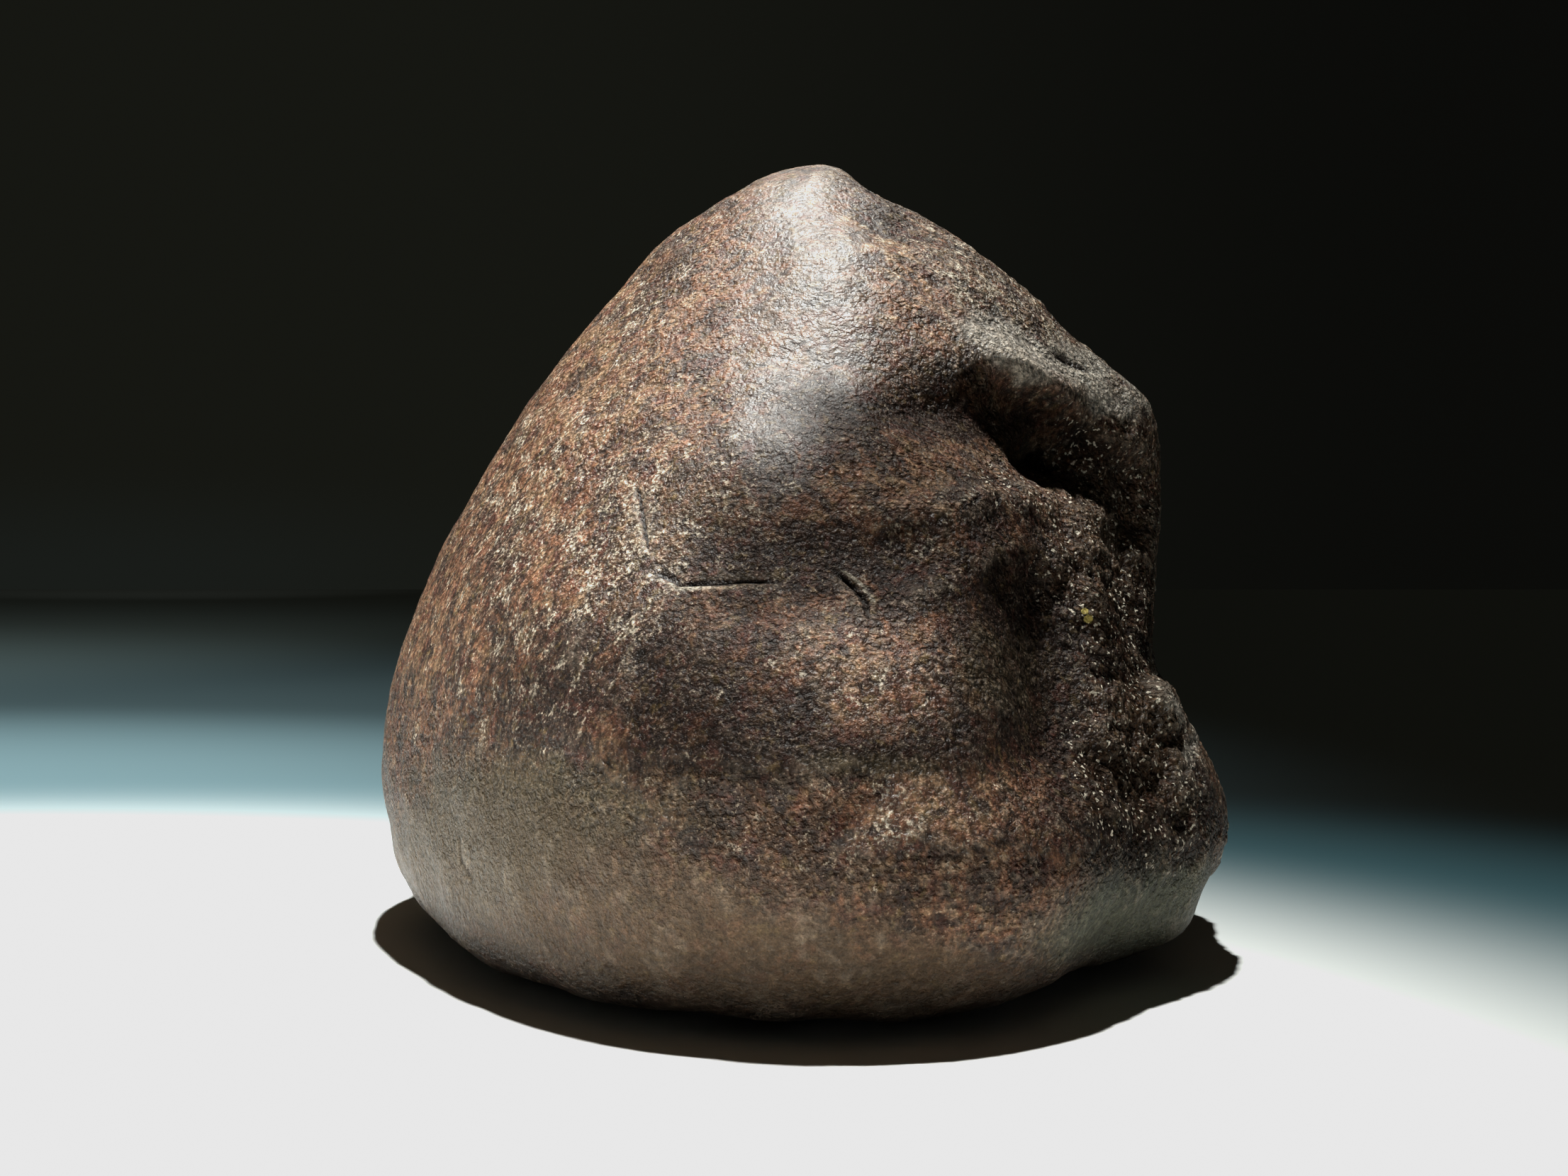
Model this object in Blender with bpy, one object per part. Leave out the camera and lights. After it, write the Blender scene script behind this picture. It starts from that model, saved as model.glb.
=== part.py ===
"""An oriented stony meteorite: one solid stone, a blunt rounded cone with its
nose up, a broken right side with a shoulder, a hollow and a low knob, and a
small flat spot underneath on which it rests.

Metres, +Z up. The finished stone stands on z = 0 with the origin under the
middle of its outline; -Y is the front, +X the right.
"""

import math

import bmesh
import bpy
import numpy as np

MM = 0.001

# ---------------------------------------------------------------- dimensions
# The skin is a loft. Its axis goes up through the nose. Each row of MERIDIANS
# is the stone's profile on one side, as the radius in mm at each height of
# LEVELS (mm), from the nose down to the edge of the foot.
AXIS_X = 3.0  # mm, the nose is a little right of the middle
LEVELS = (
    64.6, 63.3, 60.5, 55.0, 48.0, 40.0, 31.0, 23.0, 16.0, 9.0, 4.0, 1.6, 0.5, 0.0,
)  # fmt: skip
MERIDIANS = {
    # degrees, clockwise from the front as seen from above
    0: (0, 5.5, 9.5, 15.5, 22.0, 29.5, 37.0, 42.0, 44.5, 44.3, 42.6, 40.6, 37.0, 25.0),
    45: (0, 4.5, 8.5, 14.5, 20.5, 26.0, 30.5, 32.5, 34.5, 35.5, 34.0, 32.0, 29.0, 20.0),
    90: (0, 3.7, 8.3, 15.0, 22.7, 28.8, 28.7, 28.9, 31.0, 33.0, 31.0, 28.5, 25.0, 16.5),
    135: (0, 5.5, 10.3, 17.0, 24.0, 29.5, 32.5, 34.0, 35.0, 34.5, 31.5, 28.0, 23.5, 16.0),
    180: (0, 6.5, 12.5, 19.5, 26.0, 31.5, 36.5, 39.0, 40.0, 38.5, 34.5, 30.5, 26.0, 17.0),
    225: (0, 5.8, 11.2, 17.5, 23.8, 30.0, 35.5, 39.5, 41.0, 39.8, 37.0, 33.0, 28.0, 18.0),
    270: (0, 5.2, 10.3, 16.4, 22.1, 27.6, 32.6, 35.9, 37.3, 36.8, 35.0, 32.5, 28.5, 19.0),
    315: (0, 5.2, 9.6, 15.3, 21.4, 27.2, 32.6, 35.7, 37.0, 37.0, 36.0, 34.5, 31.5, 21.0),
}
MIDDLE_OF_FOOT = -1.5  # mm; all below z = 0 is ground away, which leaves the flat spot

# Relief on the loft: each entry moves the skin near a point. Centre, spread
# along x, y and z, and the push at the centre, all in mm in the loft's frame,
# then how square the edge of the push is (2 is a plain bell).
RELIEF = (
    ("rim crest", (20, -8, 53), (11, 7, 4), (0.6, -1.2, 0.6), 2),
    ("shoulder", (30, -6, 44.5), (4, 8, 3.5), (1.9, -0.5, 0.6), 2),
    ("cavity under the rim", (19, -16, 39.5), (9, 9, 4.0), (-1.6, 3.4, -0.4), 2),
    ("deep hole", (21.5, -15, 37.5), (2.2, 5, 1.5), (-1.2, 4.0, 0.6), 2),
    ("middle hollow", (4, -36, 28.0), (8, 8, 3.6), (0.0, 2.0, 0.0), 2),
    ("valley", (9, -40, 17.5), (10, 8, 2.6), (-0.3, 1.8, 0.0), 2),
    ("lower bulge", (14, -36, 11.0), (11, 8, 5), (0.8, -1.0, 0.4), 2),
    ("channel", (18.5, -28, 22.5), (3.0, 7, 6.0), (-1.0, 3.6, 0.0), 2),
    ("flank trim", (20, -31, 12), (5, 6, 6), (-0.6, 1.2, 0.0), 2),
    ("knob", (31, -18, 13.5), (6, 7, 7), (1.8, -1.6, 0.0), 3),
    ("knob ledge", (31, -14, 22.0), (6, 8, 2.0), (-1.0, 1.0, 0.0), 2),
    ("nose dimple", (8, -3, 61.5), (2.8, 2.8, 2.0), (-0.3, 0.4, -0.6), 2),
    ("toe notch", (20, -26, 3), (2.6, 4, 3), (-0.6, 1.8, 0.8), 2),
)

SPHERE_STEPS = 5  # 5,120 triangles, about 2.5 mm on a side


# ------------------------------------------------------------------ the skin
def around(azimuth):
    """Weights of the meridians at each azimuth: a periodic cubic spline."""
    n = len(MERIDIANS)
    left = np.zeros((n, n))
    right = np.zeros((n, n))
    for i in range(n):
        left[i, i] = 4.0
        left[i, (i - 1) % n] += 1.0
        left[i, (i + 1) % n] += 1.0
        right[i, (i + 1) % n] += 3.0
        right[i, (i - 1) % n] -= 3.0
    slope = np.linalg.solve(left, right)
    u = np.mod(azimuth / 360.0, 1.0) * n
    k = np.floor(u).astype(int) % n
    f = u - np.floor(u)
    rows = np.arange(len(u))
    weights = np.zeros((len(u), n))
    weights[rows, k] += 2 * f**3 - 3 * f**2 + 1
    weights[rows, (k + 1) % n] += 3 * f**2 - 2 * f**3
    weights += (f**3 - 2 * f**2 + f)[:, None] * slope[k]
    weights += (f**3 - f**2)[:, None] * slope[(k + 1) % n]
    return weights


def along(knots, values, t):
    """A natural cubic spline through values (one row per knot), read at t."""
    m = len(knots)
    h = np.diff(knots)
    left = np.zeros((m, m))
    right = np.zeros_like(values)
    left[0, 0] = left[-1, -1] = 1.0
    for i in range(1, m - 1):
        left[i, i - 1 : i + 2] = h[i - 1], 2 * (h[i - 1] + h[i]), h[i]
        right[i] = 6 * (
            (values[i + 1] - values[i]) / h[i] - (values[i] - values[i - 1]) / h[i - 1]
        )
    bend = np.linalg.solve(left, right)
    k = np.clip(np.searchsorted(knots, t, side="right") - 1, 0, m - 2)
    a = ((knots[k + 1] - t) / h[k])[:, None]
    b = 1.0 - a
    return (
        a * values[k]
        + b * values[k + 1]
        + ((a**3 - a) * bend[k] + (b**3 - b) * bend[k + 1]) * (h[k] ** 2)[:, None] / 6
    )


def loft(azimuth, t):
    """Points of the loft; t runs from 0 at the nose to 1 in the middle of the foot."""
    radii = np.array([MERIDIANS[a] + (0.0,) for a in sorted(MERIDIANS)], float)
    heights = np.array(LEVELS + (MIDDLE_OF_FOOT,), float)
    steps = np.hypot(np.diff(radii.mean(axis=0)), np.diff(heights))
    knots = np.concatenate([[0.0], np.cumsum(steps)])
    knots /= knots[-1]
    # Each profile runs on over the nose and the foot into the opposite one, so
    # that the skin has no point there.
    opposite = np.roll(radii, len(radii) // 2, axis=0)
    knots = np.concatenate([-knots[3:0:-1], knots, 2 - knots[-2:-5:-1]])
    radii = np.concatenate(
        [-opposite[:, 3:0:-1], radii, -opposite[:, -2:-5:-1]], axis=1
    )
    heights = np.concatenate([heights[3:0:-1], heights, heights[-2:-5:-1]])
    weights = along(knots, np.eye(len(knots)), t)
    radius = (weights @ radii.T * around(azimuth)).sum(axis=1)
    angle = np.radians(azimuth)
    return np.stack(
        [AXIS_X + radius * np.sin(angle), -radius * np.cos(angle), weights @ heights],
        axis=1,
    )


def relieved(points):
    for _, centre, spread, push, square in RELIEF:
        away = (points - np.array(centre, float)) / np.array(spread, float)
        near = np.exp(-0.5 * (away**2).sum(axis=1) ** (square / 2))
        points = points + near[:, None] * np.array(push, float)
    return points


def skin(directions):
    """The stone's skin in mm for unit vectors, +Z at the nose and -Y at the front."""
    azimuth = np.degrees(np.arctan2(directions[:, 0], -directions[:, 1]))
    t = np.arccos(np.clip(directions[:, 2], -1.0, 1.0)) / math.pi
    return relieved(loft(azimuth, t))


# ------------------------------------------------------------------ the stone
def crust():
    """Dark brown fusion crust, satin, weathered."""
    material = bpy.data.materials.new("fusion_crust")
    material.use_nodes = True
    shader = material.node_tree.nodes["Principled BSDF"]
    shader.inputs["Base Color"].default_value = (0.115, 0.075, 0.055, 1.0)
    shader.inputs["Roughness"].default_value = 0.5
    shader.inputs["Metallic"].default_value = 0.0
    material.diffuse_color = (0.20, 0.14, 0.11, 1.0)
    return material


def stone(collection):
    ball = bmesh.new()
    bmesh.ops.create_icosphere(ball, subdivisions=SPHERE_STEPS, radius=1.0)
    ball.verts.ensure_lookup_table()
    directions = np.array([v.co[:] for v in ball.verts])
    directions /= np.linalg.norm(directions, axis=1, keepdims=True)
    for vertex, point in zip(ball.verts, skin(directions)):
        vertex.co = point * MM
    # the flat spot
    cut = bmesh.ops.bisect_plane(
        ball,
        geom=ball.verts[:] + ball.edges[:] + ball.faces[:],
        dist=1e-6,
        plane_co=(0.0, 0.0, 0.0),
        plane_no=(0.0, 0.0, -1.0),
        clear_outer=True,
    )
    rim = [item for item in cut["geom_cut"] if isinstance(item, bmesh.types.BMEdge)]
    for vertex in {v for edge in rim for v in edge.verts}:
        vertex.co.z = 0.0
    bmesh.ops.remove_doubles(ball, verts=ball.verts[:], dist=2e-5)
    bmesh.ops.holes_fill(ball, edges=ball.edges[:], sides=0)
    bmesh.ops.recalc_face_normals(ball, faces=ball.faces[:])
    # the origin goes under the middle of the outline
    places = np.array([v.co[:] for v in ball.verts])
    middle = (places.min(axis=0) + places.max(axis=0)) / 2
    bmesh.ops.translate(ball, verts=ball.verts[:], vec=(-middle[0], -middle[1], 0.0))
    mesh = bpy.data.meshes.new("meteorite")
    ball.to_mesh(mesh)
    ball.free()
    mesh.materials.append(crust())
    mesh.shade_smooth()
    mesh.set_sharp_from_angle(angle=math.radians(40))
    piece = bpy.data.objects.new("meteorite", mesh)
    collection.objects.link(piece)
    return piece


def main():
    for item in list(bpy.data.objects):
        bpy.data.objects.remove(item, do_unlink=True)
    collection = bpy.data.collections.new("oriented_meteorite")
    bpy.context.scene.collection.children.link(collection)
    stone(collection)


main()
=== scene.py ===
"""The looks of an oriented stony meteorite: a blunt cone of dark brown fusion
crust, smooth and flown on its left and front, broken and knobbly on its right.

Lengths in the shape's own functions are in mm, in the stone's own frame: the
nose's axis stands at x = AXIS_X, y = 0, -Y is the front, +X the right and the
foot is at z = 0. The finished mesh is moved to the model's frame, in metres.
Places given as pairs are points of the picture's 2212 x 1659 frame, and each
is carried onto the stone's skin along the camera's ray.
"""

import math

import bpy
import numpy as np
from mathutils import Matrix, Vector
from mathutils.bvhtree import BVHTree


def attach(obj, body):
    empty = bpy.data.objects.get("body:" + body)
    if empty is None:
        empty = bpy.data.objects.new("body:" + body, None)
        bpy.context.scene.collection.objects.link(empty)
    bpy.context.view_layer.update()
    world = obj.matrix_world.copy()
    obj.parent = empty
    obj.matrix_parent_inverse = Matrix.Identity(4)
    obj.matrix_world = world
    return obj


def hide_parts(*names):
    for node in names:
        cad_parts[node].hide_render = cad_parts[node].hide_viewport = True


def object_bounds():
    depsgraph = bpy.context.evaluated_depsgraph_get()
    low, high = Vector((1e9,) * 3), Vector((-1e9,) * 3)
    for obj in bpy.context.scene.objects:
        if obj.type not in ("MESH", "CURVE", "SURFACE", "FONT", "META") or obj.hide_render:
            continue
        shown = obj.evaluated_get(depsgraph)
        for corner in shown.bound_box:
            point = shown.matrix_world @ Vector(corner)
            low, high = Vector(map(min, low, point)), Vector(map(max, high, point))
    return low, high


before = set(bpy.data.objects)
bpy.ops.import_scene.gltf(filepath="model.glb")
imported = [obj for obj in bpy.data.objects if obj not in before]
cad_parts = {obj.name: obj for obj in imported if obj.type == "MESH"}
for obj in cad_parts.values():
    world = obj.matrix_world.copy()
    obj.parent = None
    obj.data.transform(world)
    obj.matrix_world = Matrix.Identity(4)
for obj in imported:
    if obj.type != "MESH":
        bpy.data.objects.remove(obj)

MM = 0.001
CAD_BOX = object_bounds()

# ------------------------------------------------------------------- the view
PICTURE = (2212, 1659)  # pixels
FOCAL = 2600.0  # pixels
EYE = (0.0, -158.0, 30.0)  # mm, in the stone's frame
DOWN = 0.5  # degrees that the camera looks down

LAMP = (-5.0, 30.0, 550.0)  # mm
LAMPS = (
    # name, where on the floor it is aimed in mm, half angle, watts, colour
    ("beam", (-90, -82), 18.5, 39.0, (1.0, 0.945, 0.880)),
    ("halo", (-160, 48), 20.5, 6.2, (0.56, 0.9, 1.0)),
    ("wide halo", (-400, 120), 46.0, 2.6, (0.56, 0.9, 1.0)),
    ("far halo", (-1100, 1000), 42.0, 3.0, (0.7, 0.95, 0.9)),
    ("right halo", (-40, -70), 19.5, 3.0, (0.35, 0.85, 1.0)),
    ("last halo", (-2164, 5902), 12.0, 17.0, (0.85, 0.97, 0.90)),
)

# --------------------------------------------------------------- the big form
AXIS_X = 3.0
LEVELS = (
    64.6, 63.3, 60.5, 55.0, 48.0, 40.0, 31.0, 23.0, 16.0, 9.0, 4.0, 1.6, 0.5, 0.0,
)  # fmt: skip
MERIDIANS = {
    # degrees, clockwise from the front as seen from above
    0: (0, 5.5, 9.5, 15.5, 22.0, 29.5, 37.0, 42.0, 44.5, 44.3, 42.6, 40.6, 37.0, 25.0),
    45: (0, 4.5, 8.5, 14.5, 20.5, 26.0, 30.5, 32.5, 34.5, 35.5, 34.0, 32.0, 29.0, 20.0),
    90: (0, 3.7, 8.3, 15.0, 22.7, 28.8, 28.7, 28.9, 31.0, 33.0, 31.0, 28.5, 25.0, 16.5),
    135: (0, 5.5, 10.3, 17.0, 24.0, 29.5, 32.5, 34.0, 35.0, 34.5, 31.5, 28.0, 23.5, 16.0),
    180: (0, 6.5, 12.5, 19.5, 26.0, 31.5, 36.5, 39.0, 40.0, 38.5, 34.5, 30.5, 26.0, 17.0),
    225: (0, 5.8, 11.2, 17.5, 23.8, 30.0, 35.5, 39.5, 41.0, 39.8, 37.0, 33.0, 28.0, 18.0),
    270: (0, 5.2, 10.3, 16.4, 22.1, 27.6, 32.6, 35.9, 37.3, 36.8, 35.0, 32.5, 28.5, 19.0),
    315: (0, 5.2, 9.6, 15.3, 21.4, 27.2, 32.6, 35.7, 37.0, 37.0, 36.0, 34.5, 31.5, 21.0),
}
MIDDLE_OF_FOOT = -1.5
RELIEF = (
    ("rim crest", (20, -8, 53), (11, 7, 4), (0.6, -1.2, 0.6), 2),
    ("shoulder", (30, -6, 44.5), (4, 8, 3.5), (1.9, -0.5, 0.6), 2),
    ("cavity under the rim", (19, -16, 39.5), (9, 9, 4.0), (-1.6, 3.4, -0.4), 2),
    ("deep hole", (21.5, -15, 37.5), (2.2, 5, 1.5), (-1.2, 4.0, 0.6), 2),
    ("middle hollow", (4, -36, 28.0), (8, 8, 3.6), (0.0, 2.0, 0.0), 2),
    ("valley", (9, -40, 17.5), (10, 8, 2.6), (-0.3, 1.8, 0.0), 2),
    ("lower bulge", (14, -36, 11.0), (11, 8, 5), (0.8, -1.0, 0.4), 2),
    ("channel", (18.5, -28, 22.5), (3.0, 7, 6.0), (-1.0, 3.6, 0.0), 2),
    ("flank trim", (20, -31, 12), (5, 6, 6), (-0.6, 1.2, 0.0), 2),
    ("knob", (31, -18, 13.5), (6, 7, 7), (1.8, -1.6, 0.0), 3),
    ("knob ledge", (31, -14, 22.0), (6, 8, 2.0), (-1.0, 1.0, 0.0), 2),
    ("nose dimple", (8, -3, 61.5), (2.8, 2.8, 2.0), (-0.3, 0.4, -0.6), 2),
    ("toe notch", (20, -26, 3), (2.6, 4, 3), (-0.6, 1.8, 0.8), 2),
)

# Forms on the big form: the place in the picture, spread in mm across and up as
# the camera sees it, turn in degrees anticlockwise, push in mm (x, y, z) or
# outwards along the skin's normal, and how square the edge is.
FORMS = (
    ("ridge", (1190, 410), (3.4, 4.6), 15, 0.7, 2),
    ("brow", (1350, 500), (4.0, 1.9), -20, (0.2, -0.8, 0.1), 2),
    ("dimple by the nose", (1255, 315), (2.2, 1.2), -40, -0.5, 2),
    ("face under the brow", (1180, 650), (6.0, 2.6), 5, (0.0, -0.5, 0.0), 2),
    ("middle bulge", (1140, 895), (8.5, 1.8), -9, (0.0, -0.7, 0.0), 2),
    ("hollow under the shelf", (1200, 780), (6.5, 1.6), -3, (0.0, 0.35, 0.0), 2),
    ("valley", (1190, 1078), (8.0, 1.7), 0, (0.0, -1.2, 0.0), 2),
    ("broken side", (1575, 740), (3.4, 6.0), 0, (-1.0, 2.6, 0.0), 2),
    ("channel", (1468, 890), (2.7, 4.2), 12, (-0.5, 1.8, 0.0), 2),
    ("channel foot", (1478, 1040), (1.8, 3.0), 0, (-0.4, 1.6, 0.0), 2),
    ("knob top", (1640, 1000), (1.8, 1.0), -35, 1.3, 3),
    ("knob face", (1590, 1090), (2.4, 2.2), 0, (0.0, 0.9, 0.0), 2),
    ("facet", (1600, 1310), (4.6, 2.2), 16, (-0.2, 0.9, 0.0), 2),
    ("right foot", (1655, 1290), (2.0, 2.4), 0, (1.5, 0.0, -0.9), 2),
    ("facet's edge", (1470, 1300), (1.2, 3.0), -35, (-0.2, -0.6, 0.0), 2),
)
# Lines: places in the picture, half width in mm, push in mm as above, and how
# much of the length at each end it takes to reach its full strength.
LINES = (
    ("rim", ((1320, 474), (1370, 490), (1430, 518), (1480, 545), (1530, 572), (1598, 612)), 1.5, (0.3, -2.8, 0.2), 0.55),
    ("undercut", ((1340, 575), (1400, 584), (1450, 600), (1500, 620), (1550, 638), (1600, 656)), 1.6, (-0.4, 1.3, 0.2), 0.5),
    ("left end of the undercut", ((1190, 604), (1250, 594), (1320, 588), (1400, 600)), 1.3, (-0.1, 1.1, 0.2), 0.5),
    ("hole", ((1425, 645), (1462, 668), (1500, 650)), 1.1, (-0.6, 2.6, 0.5), 0.2),
    ("shelf", ((1150, 690), (1240, 722), (1320, 722), (1390, 700), (1470, 705), (1530, 680)), 1.1, 0.5, 0.25),
    ("ledge", ((1225, 868), (1290, 850), (1350, 815), (1400, 788), (1470, 775)), 1.0, 0.5, 0.25),
    ("column", ((1548, 690), (1560, 760), (1552, 830), (1556, 900), (1540, 960)), 1.5, 0.8, 0.2),
    ("right recess", ((1612, 620), (1618, 740), (1612, 840), (1618, 940)), 2.0, (-1.6, 1.0, 0.0), 0.15),
)
# Cracks: places in the picture, half width and depth in mm, the height of the
# lip beside it (above 0 on the right of the way it runs, below 0 on its left),
# and the taper.
CRACKS = (
    ("left arm", ((896, 672), (901, 700), (907, 738), (915, 781), (921, 791)), 0.09, 0.26, 0.09, 0.3),
    ("middle arm", ((921, 791), (941, 803), (964, 822)), 0.10, 0.18, 0.06, 0.3),
    ("right arm", ((906, 806), (930, 811), (960, 825), (999, 822), (1050, 820), (1088, 820), (1116, 823)), 0.10, 0.32, 0.11, 0.2),
    ("hook", ((1170, 800), (1194, 818), (1212, 834), (1224, 852), (1226, 880)), 0.14, 0.34, -0.12, 0.3),
    ("scratch", ((1319, 760), (1308, 780), (1296, 805)), 0.09, 0.06, 0.10, 0.3),
    ("edge of the lens", ((1352, 724), (1366, 710), (1391, 695)), 0.12, 0.14, -0.12, 0.3),
    ("left scratch", ((693, 781), (703, 750), (725, 712)), 0.10, 0.06, 0.10, 0.3),
    ("low crack", ((646, 1170), (650, 1217), (665, 1242), (674, 1263)), 0.10, 0.16, 0.05, 0.3),
    ("groove on the rim", ((1475, 489), (1505, 510), (1547, 527)), 0.30, 0.25, 0.05, 0.3),
)
# Pits: the place in the picture, half width in mm, depth in mm.
PITS = (
    ((855, 1076), 0.20, 0.16), ((868, 1084), 0.18, 0.14), ((846, 1090), 0.16, 0.12),
    ((836, 1137), 0.18, 0.12), ((1092, 905), 0.3, 0.2), ((1010, 742), 0.25, 0.15),
    ((742, 962), 0.3, 0.2), ((905, 925), 0.4, 0.2), ((1140, 985), 0.3, 0.15),
)  # fmt: skip
# Patches of the crust and of painted light and shade: what it is, the place in
# the picture, spread in the picture's points across and up, turn, strength.
# "dim" is painted shade in the hollows, under the rim and down the broken side,
# partly darker crust; "dark" is purple-black crust, and also painted shade in
# the valley and the hollows; "tan" is paler grains, and on the rim and the top
# of the left flank also painted light; "pale" is pale grey crust, and on the
# rim's crest also painted light.
PATCHES = (
    ("rough", (1560, 760), (62, 135), 0, 1.0),
    ("rough", (1440, 680), (70, 36), 10, 0.5),
    ("rough", (1560, 600), (70, 36), -10, 0.5),
    ("rough", (1605, 1055), (78, 84), 0, 1.0),
    ("rough", (1400, 440), (160, 50), -34, 0.35),
    ("rough", (1440, 830), (90, 120), 0, 0.15),
    ("rough", (1640, 1180), (70, 60), 0, 0.6),
    ("rough", (1640, 985), (50, 30), -35, 0.9),
    ("tan", (760, 640), (75, 170), -28, 0.38),
    ("tan", (720, 900), (80, 170), -12, 0.42),
    ("tan", (880, 820), (90, 130), -10, 0.6),
    ("tan", (1000, 700), (100, 90), 20, 0.4),
    ("tan", (1180, 940), (110, 40), -8, 0.35),
    ("tan", (1410, 430), (170, 50), -34, 1.0),
    ("tan", (1320, 720), (90, 35), 10, 0.5),
    ("tan", (1640, 1000), (50, 40), -30, 0.6),
    ("tan", (1660, 1080), (30, 60), -15, 0.7),
    ("tan", (1250, 1150), (120, 60), 0, 0.4),
    ("rust", (860, 500), (50, 190), -22, 0.9),
    ("rust", (720, 700), (45, 90), -20, 0.6),
    ("rust", (600, 930), (40, 130), -10, 0.8),
    ("rust", (1265, 380), (32, 80), 35, 1.0),
    ("rust", (1280, 680), (160, 60), 0, 0.7),
    ("rust", (1200, 930), (120, 46), -8, 0.5),
    ("rust", (870, 560), (34, 60), -20, 0.6),
    ("rust", (650, 900), (26, 90), -12, 0.5),
    ("rust", (1010, 420), (90, 120), -20, 0.4),
    ("rust", (900, 590), (60, 60), 0, 0.7),
    ("rust", (1330, 690), (110, 30), 10, 0.5),
    ("rust", (1340, 1140), (110, 55), -8, 1.0),
    ("rust", (1420, 1260), (70, 50), 0, 0.7),
    ("rust", (1260, 900), (120, 50), -8, 0.5),
    ("rust", (1040, 935), (90, 35), -8, 0.5),
    ("rust", (1420, 600), (80, 40), 0, 0.5),
    ("dark", (1130, 800), (110, 32), 3, 0.9),
    ("dark", (970, 960), (120, 70), 0, 0.5),
    ("dark", (1200, 1062), (170, 24), 0, 0.7),
    ("dark", (1450, 940), (60, 110), 15, 0.8),
    ("dark", (1380, 722), (28, 24), 0, 0.9),
    ("dark", (1300, 840), (90, 25), 15, 0.5),
    ("dark", (1100, 620), (60, 50), 30, 0.4),
    ("dark", (940, 380), (20, 60), -30, 0.5),
    ("dark", (1250, 300), (40, 20), -40, 0.8),
    ("dark", (1620, 1170), (90, 40), 10, 0.6),
    ("dark", (780, 1010), (40, 60), -10, 0.5),
    ("olive", (700, 1170), (130, 110), 10, 1.0),
    ("olive", (880, 1130), (160, 60), 0, 0.6),
    ("olive", (1420, 960), (60, 90), 10, 0.7),
    ("olive", (1640, 1010), (50, 40), 0, 0.6),
    ("olive", (1600, 1300), (140, 50), 15, 1.0),
    ("olive", (1190, 1200), (160, 60), 0, 0.3),
    ("dark", (1290, 590), (110, 26), -4, 0.9),
    # dim: painted shade, partly darker crust
    ("dim", (1300, 590), (110, 24), -2, 0.85),
    ("dim", (1250, 720), (150, 120), 0, 0.95),
    ("dim", (1430, 910), (80, 150), 0, 0.9),
    ("dim", (1585, 1150), (110, 90), 0, 0.85),
    ("dim", (1000, 1030), (140, 60), 0, 0.6),
    ("dim", (1270, 1058), (190, 36), 0, 0.8),
    ("dim", (1350, 1250), (170, 60), 0, 0.5),
    ("dim", (1460, 610), (110, 34), -14, 0.9),
    ("dim", (1150, 720), (150, 90), 0, 0.7),
    ("dim", (1370, 780), (80, 60), 0, 0.5),
    ("rust", (790, 800), (34, 120), -16, 0.6),
    ("rust", (840, 1010), (30, 60), -10, 0.5),
    ("dark", (700, 830), (24, 90), -16, 0.45),
    ("dark", (790, 930), (30, 50), -10, 0.5),
    ("dark", (860, 700), (22, 80), -20, 0.4),
    ("olive", (1230, 1080), (110, 26), 0, 0.8),
    ("dim", (970, 970), (130, 90), 0, 0.62),
    ("dim", (1060, 850), (70, 36), 0, 0.6),
    ("tan", (1550, 545), (70, 26), -32, 1.0),
    ("flown", (1135, 330), (82, 150), 0, 1.0),
    ("flown", (1142, 455), (80, 116), 14, 0.95),
    ("flown", (1080, 600), (46, 80), 25, 0.7),
    ("dim", (1390, 570), (90, 34), -14, 0.9),
    ("dim", (1240, 612), (56, 14), 0, 0.5),
    ("dim", (1596, 890), (56, 66), 0, 1.0),
    ("dim", (1190, 800), (110, 30), 6, 0.8),
    ("dim", (1232, 596), (74, 60), 0, 0.75),
    ("dim", (1240, 300), (24, 24), 0, 0.6),
    ("dim", (1190, 790), (150, 40), 4, 0.8),
    ("green", (1600, 1290), (110, 56), 16, 1.0),
    ("dim", (1480, 1060), (40, 90), 0, 0.6),
    ("dim", (750, 965), (60, 60), 0, 0.45),
    ("dark", (1236, 300), (26, 26), 0, 0.6),
    ("dim", (1120, 950), (230, 110), -6, 0.28),
    ("dim", (1320, 1165), (120, 60), -6, 0.35),
    ("tan", (925, 425), (46, 100), -30, 0.42),
    ("calm", (700, 1200), (150, 90), -18, 0.8),
    ("calm", (900, 1310), (300, 80), -9, 1.0),
    ("calm", (1200, 1372), (230, 44), -3, 1.0),
    ("calm", (1640, 1290), (110, 46), 16, 0.7),
    ("pale", (1420, 485), (86, 28), -30, 1.0),
    ("pale", (1555, 545), (64, 26), -32, 1.0),
    ("pale", (1650, 992), (40, 20), -38, 0.75),
    ("pale", (1684, 1060), (14, 44), -15, 0.7),
    )

# Chips and grains set in the crust: the place in the picture, half width in mm
# and the colour.
CHIPS = (
    ((886, 443), 0.17, "CREAM"), ((893, 439), 0.22, "CREAM"), ((900, 435), 0.22, "CREAM"),
    ((906, 431), 0.15, "CREAM"), ((864, 488), 0.16, "CREAM"), ((838, 644), 0.15, "CREAM"),
    ((986, 608), 0.17, "CREAM"), ((810, 602), 0.14, "CREAM"), ((1531, 862), 0.28, "YELLOW"),
    ((1536, 873), 0.34, "YELLOW"), ((1571, 700), 0.16, "CREAM"), ((1562, 742), 0.20, "CREAM"),
    ((1556, 765), 0.16, "CREAM"), ((1548, 838), 0.18, "CREAM"), ((1586, 846), 0.16, "CREAM"),
)  # fmt: skip

STEPS = 126  # quads along each side of the six patches of the skin
# Directions towards which the mesh is drawn together, how far, and how widely.
DENSER = (
    ((0.15, -0.98, 0.05), 0.36, 1.0),
    ((0.70, -0.70, 0.00), 0.30, 0.6),
)


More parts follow.
